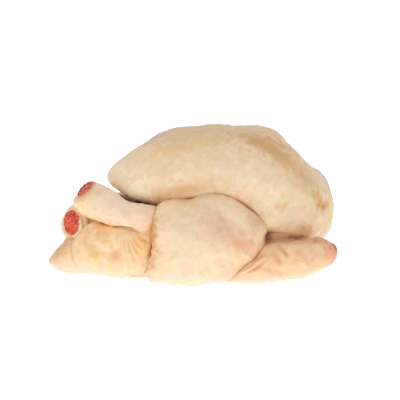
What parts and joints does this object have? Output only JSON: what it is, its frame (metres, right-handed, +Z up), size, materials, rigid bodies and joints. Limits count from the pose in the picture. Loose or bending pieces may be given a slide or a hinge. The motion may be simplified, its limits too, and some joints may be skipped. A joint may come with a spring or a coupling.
{
  "type": "whole raw chicken",
  "caption": "Oven-ready raw chicken on its back, breast up, with the legs folded in, the shanks crossed over the tail and the wings along the sides.",
  "frame": {"origin": "centre of the bounding box in X and Y, on the plane the bird rests on", "axes": "+X towards the neck end, +Y towards the bird's right side, +Z up out of the breast"},
  "size_m": [0.2605, 0.168, 0.1309],
  "materials": {
    "raw_skin": "moist raw skin, soft sheen",
    "cut_bone": "cut bone end with red marrow, moist"
  },
  "bodies": {
    "root": {"chicken": "raw_skin", "near_shank_bone": "cut_bone", "far_shank_bone": "cut_bone"}
  },
  "joints": []
}
